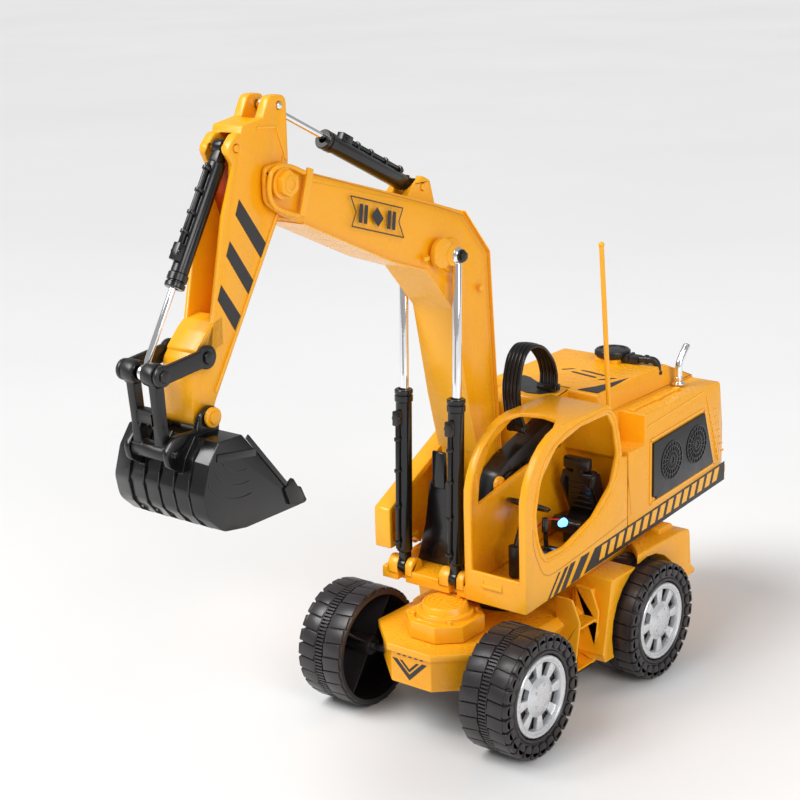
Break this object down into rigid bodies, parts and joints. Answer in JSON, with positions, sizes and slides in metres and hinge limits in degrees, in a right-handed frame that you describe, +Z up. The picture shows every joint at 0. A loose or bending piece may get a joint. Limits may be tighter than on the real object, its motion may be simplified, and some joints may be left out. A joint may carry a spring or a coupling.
{
  "type": "toy excavator",
  "caption": "Wheeled toy excavator with a slewing upper body, open cab, cranked boom, arm, bucket, moving cylinders and rolling wheels.",
  "frame": {"origin": "on the ground under the middle of the overall box, wheels standing at z = 0", "axes": "+Z up, -Y towards the bucket, +X towards the cab side"},
  "size_m": [0.1364, 0.4112, 0.3405],
  "materials": {
    "yellow_plastic": "glossy moulded plastic",
    "black_plastic": "glossy moulded plastic",
    "tyre_rubber": "matt soft rubber",
    "silver_plastic": "silver painted plastic",
    "chrome_rod": "bright plated",
    "steel": "ground steel",
    "brass_gear": "machined",
    "board_green": "printed board",
    "cell_green": "shrink sleeve",
    "lamp_blue": "clear lens"
  },
  "bodies": {
    "chassis": {"chassis_shell": "yellow_plastic", "bottom_pan": "black_plastic", "battery_door": "black_plastic", "battery_pack": "cell_green", "front_gearbox_cap": "yellow_plastic", "slew_ring": "black_plastic", "front_axle": "steel", "drive_motor": "steel"},
    "rear_wheelset": {"rear_axle": "steel", "axle_gear": "black_plastic", "tyre_rear_left": "tyre_rubber", "hub_rear_left": "silver_plastic", "tyre_rear_right": "tyre_rubber", "hub_rear_right": "silver_plastic"},
    "motor_pinion": {"motor_pinion": "brass_gear"},
    "front_left_wheel": {"tyre_front_left": "tyre_rubber", "hub_front_left": "silver_plastic"},
    "front_right_wheel": {"tyre_front_right": "tyre_rubber", "hub_front_right": "silver_plastic"},
    "upper": {"turntable_deck": "yellow_plastic", "cab_shell": "yellow_plastic", "engine_cover": "yellow_plastic", "side_grille": "black_plastic", "right_side_box": "yellow_plastic", "seat": "black_plastic", "cab_light": "lamp_blue", "control_console": "black_plastic", "steering_column": "black_plastic", "antenna": "yellow_plastic", "exhaust_pipe": "chrome_rod", "air_intake": "black_plastic", "deck_guard": "black_plastic", "boom_bracket": "black_plastic", "boom_pin": "yellow_plastic", "hose_bundle": "black_plastic", "slew_motor": "steel", "circuit_board": "board_green"},
    "steering_wheel": {"steering_wheel": "black_plastic"},
    "boom": {"boom_half_left": "yellow_plastic", "boom_half_right": "yellow_plastic", "arm_pivot_bolt": "yellow_plastic", "arm_cylinder_pin": "yellow_plastic", "lift_eye_bolt_left": "black_plastic", "lift_eye_bolt_right": "black_plastic"},
    "arm": {"arm": "yellow_plastic", "rod_eye_pin": "chrome_rod", "bucket_cylinder_pin": "yellow_plastic", "rocker_pin": "black_plastic"},
    "bucket": {"bucket": "black_plastic", "bucket_pin": "yellow_plastic"},
    "h_link": {"h_link": "black_plastic"},
    "rocker": {"rocker": "black_plastic"},
    "lift_barrel_left": {"lift_barrel_left": "black_plastic"},
    "lift_rod_left": {"lift_rod_left": "chrome_rod"},
    "lift_barrel_right": {"lift_barrel_right": "black_plastic"},
    "lift_rod_right": {"lift_rod_right": "chrome_rod"},
    "arm_barrel": {"arm_barrel": "black_plastic"},
    "arm_rod": {"arm_rod": "chrome_rod"},
    "bucket_barrel": {"bucket_barrel": "black_plastic"},
    "bucket_rod": {"bucket_rod": "chrome_rod"}
  },
  "joints": [
    {"name": "slew_hinge", "type": "hinge", "parent": "chassis", "child": "upper", "pos_m": [0, 0.04023, 0.07], "axis": [0, 0, 1], "range_deg": [-180, 180]},
    {"name": "boom_hinge", "type": "hinge", "parent": "upper", "child": "boom", "pos_m": [-0.0165, 0.03223, 0.118], "axis": [-1, 0, 0], "range_deg": [-22, 18]},
    {"name": "lift_barrel_left_hinge", "type": "hinge", "parent": "upper", "child": "lift_barrel_left", "pos_m": [0.0007, -0.00677, 0.0755], "axis": [-1, 0, 0], "range_deg": [-16.6, 13.6]},
    {"name": "lift_rod_left_hinge", "type": "hinge", "parent": "boom", "child": "lift_rod_left", "pos_m": [0.0007, 0.00023, 0.2475], "axis": [-1, 0, 0], "range_deg": [-4.6, 5.6]},
    {"name": "lift_barrel_right_hinge", "type": "hinge", "parent": "upper", "child": "lift_barrel_right", "pos_m": [-0.0337, -0.00677, 0.0755], "axis": [-1, 0, 0], "range_deg": [-16.6, 13.6]},
    {"name": "lift_rod_right_hinge", "type": "hinge", "parent": "boom", "child": "lift_rod_right", "pos_m": [-0.0337, 0.00023, 0.2475], "axis": [-1, 0, 0], "range_deg": [-4.6, 5.6]},
    {"name": "arm_hinge", "type": "hinge", "parent": "boom", "child": "arm", "pos_m": [-0.0165, -0.12237, 0.302], "axis": [-1, 0, 0], "range_deg": [-20, 20]},
    {"name": "arm_barrel_hinge", "type": "hinge", "parent": "boom", "child": "arm_barrel", "pos_m": [-0.0165, -0.01387, 0.2836], "axis": [-1, 0, 0], "range_deg": [-1.8, 1.8]},
    {"name": "arm_rod_hinge", "type": "hinge", "parent": "arm", "child": "arm_rod", "pos_m": [-0.0165, -0.11677, 0.3356], "axis": [-1, 0, 0], "range_deg": [-18.3, 18.3]},
    {"name": "bucket_hinge", "type": "hinge", "parent": "arm", "child": "bucket", "pos_m": [-0.0165, -0.17537, 0.2071], "axis": [-1, 0, 0], "range_deg": [-18, 35]},
    {"name": "h_link_hinge", "type": "hinge", "parent": "bucket", "child": "h_link", "pos_m": [-0.0165, -0.19827, 0.196], "axis": [-1, 0, 0], "range_deg": [-26.6, 13.7]},
    {"name": "rocker_hinge", "type": "hinge", "parent": "arm", "child": "rocker", "pos_m": [-0.0165, -0.17387, 0.2335], "axis": [-1, 0, 0], "range_deg": [-16.6, 32.2]},
    {"name": "bucket_barrel_hinge", "type": "hinge", "parent": "arm", "child": "bucket_barrel", "pos_m": [-0.0165, -0.14527, 0.3203], "axis": [-1, 0, 0], "range_deg": [-2.2, 4.2]},
    {"name": "bucket_rod_hinge", "type": "hinge", "parent": "rocker", "child": "bucket_rod", "pos_m": [-0.0165, -0.20047, 0.231], "axis": [-1, 0, 0], "range_deg": [-28.1, 14.5]},
    {"name": "steering_hinge", "type": "hinge", "parent": "upper", "child": "steering_wheel", "pos_m": [0.025, 0.02523, 0.112], "axis": [0, 0.4695, 0.8829], "range_deg": [-180, 180]},
    {"name": "front_left_wheel_hinge", "type": "hinge", "parent": "chassis", "child": "front_left_wheel", "pos_m": [0, -0.02527, 0.033], "axis": [1, 0, 0], "continuous": true},
    {"name": "front_right_wheel_hinge", "type": "hinge", "parent": "chassis", "child": "front_right_wheel", "pos_m": [0, -0.02527, 0.033], "axis": [1, 0, 0], "continuous": true},
    {"name": "rear_axle_hinge", "type": "hinge", "parent": "chassis", "child": "rear_wheelset", "pos_m": [0, 0.09123, 0.033], "axis": [1, 0, 0], "continuous": true},
    {"name": "pinion_hinge", "type": "hinge", "parent": "chassis", "child": "motor_pinion", "pos_m": [-0.014, 0.07933, 0.033], "axis": [1, 0, 0], "continuous": true}
  ],
  "couplings": [
    {"joint": "lift_barrel_left_hinge", "follows": "boom_hinge", "ratio": 0.75},
    {"joint": "lift_rod_left_hinge", "follows": "boom_hinge", "ratio": -0.25},
    {"joint": "lift_barrel_right_hinge", "follows": "boom_hinge", "ratio": 0.75},
    {"joint": "lift_rod_right_hinge", "follows": "boom_hinge", "ratio": -0.25},
    {"joint": "arm_barrel_hinge", "follows": "arm_hinge", "ratio": 0.087},
    {"joint": "arm_rod_hinge", "follows": "arm_hinge", "ratio": -0.913},
    {"joint": "h_link_hinge", "follows": "bucket_hinge", "ratio": -0.7572},
    {"joint": "rocker_hinge", "follows": "bucket_hinge", "ratio": 0.9182},
    {"joint": "bucket_barrel_hinge", "follows": "bucket_hinge", "ratio": 0.1166},
    {"joint": "bucket_rod_hinge", "follows": "bucket_hinge", "ratio": -0.8016},
    {"joint": "pinion_hinge", "follows": "rear_axle_hinge", "ratio": -2.4}
  ]
}
